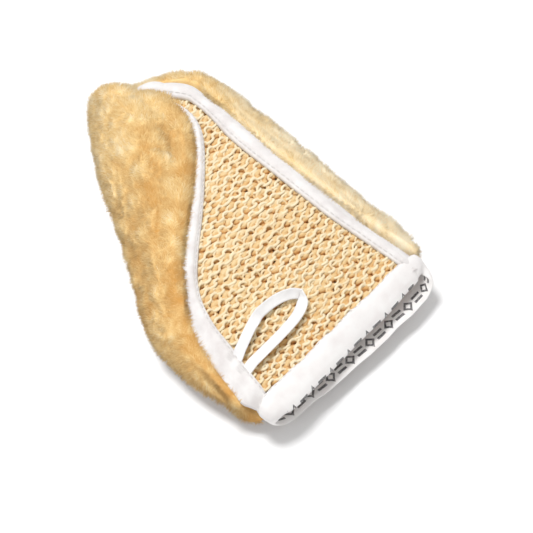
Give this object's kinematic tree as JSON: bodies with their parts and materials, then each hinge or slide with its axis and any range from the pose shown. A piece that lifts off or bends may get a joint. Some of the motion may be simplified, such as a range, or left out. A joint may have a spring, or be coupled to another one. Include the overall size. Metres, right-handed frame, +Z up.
{
  "type": "wash mitt",
  "caption": "Pouch-shaped wash mitt with a knitted sisal palm, a lambskin pile back, white tape bindings round its edges and mouth, and a hanging loop.",
  "frame": {"origin": "under the middle of the mitt's box, on the surface that its pile lies on", "axes": "+Z up out of the knitted palm, +Y from the cuff to the finger tip, +X towards the straight side of the palm"},
  "size_m": [0.185, 0.2666, 0.058],
  "materials": {
    "tanned_skin": "matt suede side of a tanned sheepskin",
    "wool_pile": "dense soft golden cream wool pile",
    "knitted_sisal": "coarse knitted sisal yarn, dry and fibrous",
    "binding_tape": "padded white woven tape, lightly puckered",
    "cuff_tape": "white woven tape with a plain printed row of lozenges and bars",
    "loop_tape": "narrow white twill tape",
    "thread": "white sewing thread"
  },
  "bodies": {
    "mitt": {"lambskin_hide": "tanned_skin", "lambskin_pile": "wool_pile", "sisal_panel": "knitted_sisal", "edge_binding": "binding_tape", "cuff_binding": "cuff_tape", "edge_seam_thread": "thread", "cuff_seam_thread": "thread", "loop_tack": "thread"},
    "loop": {"hang_loop": "loop_tape"}
  },
  "joints": [
    {"name": "loop_flip", "type": "hinge", "parent": "mitt", "child": "loop", "pos_m": [-0.0587, -0.0862, 0.0432], "axis": [-0.2161, -0.9764, 0], "range_deg": [0, 170]}
  ]
}
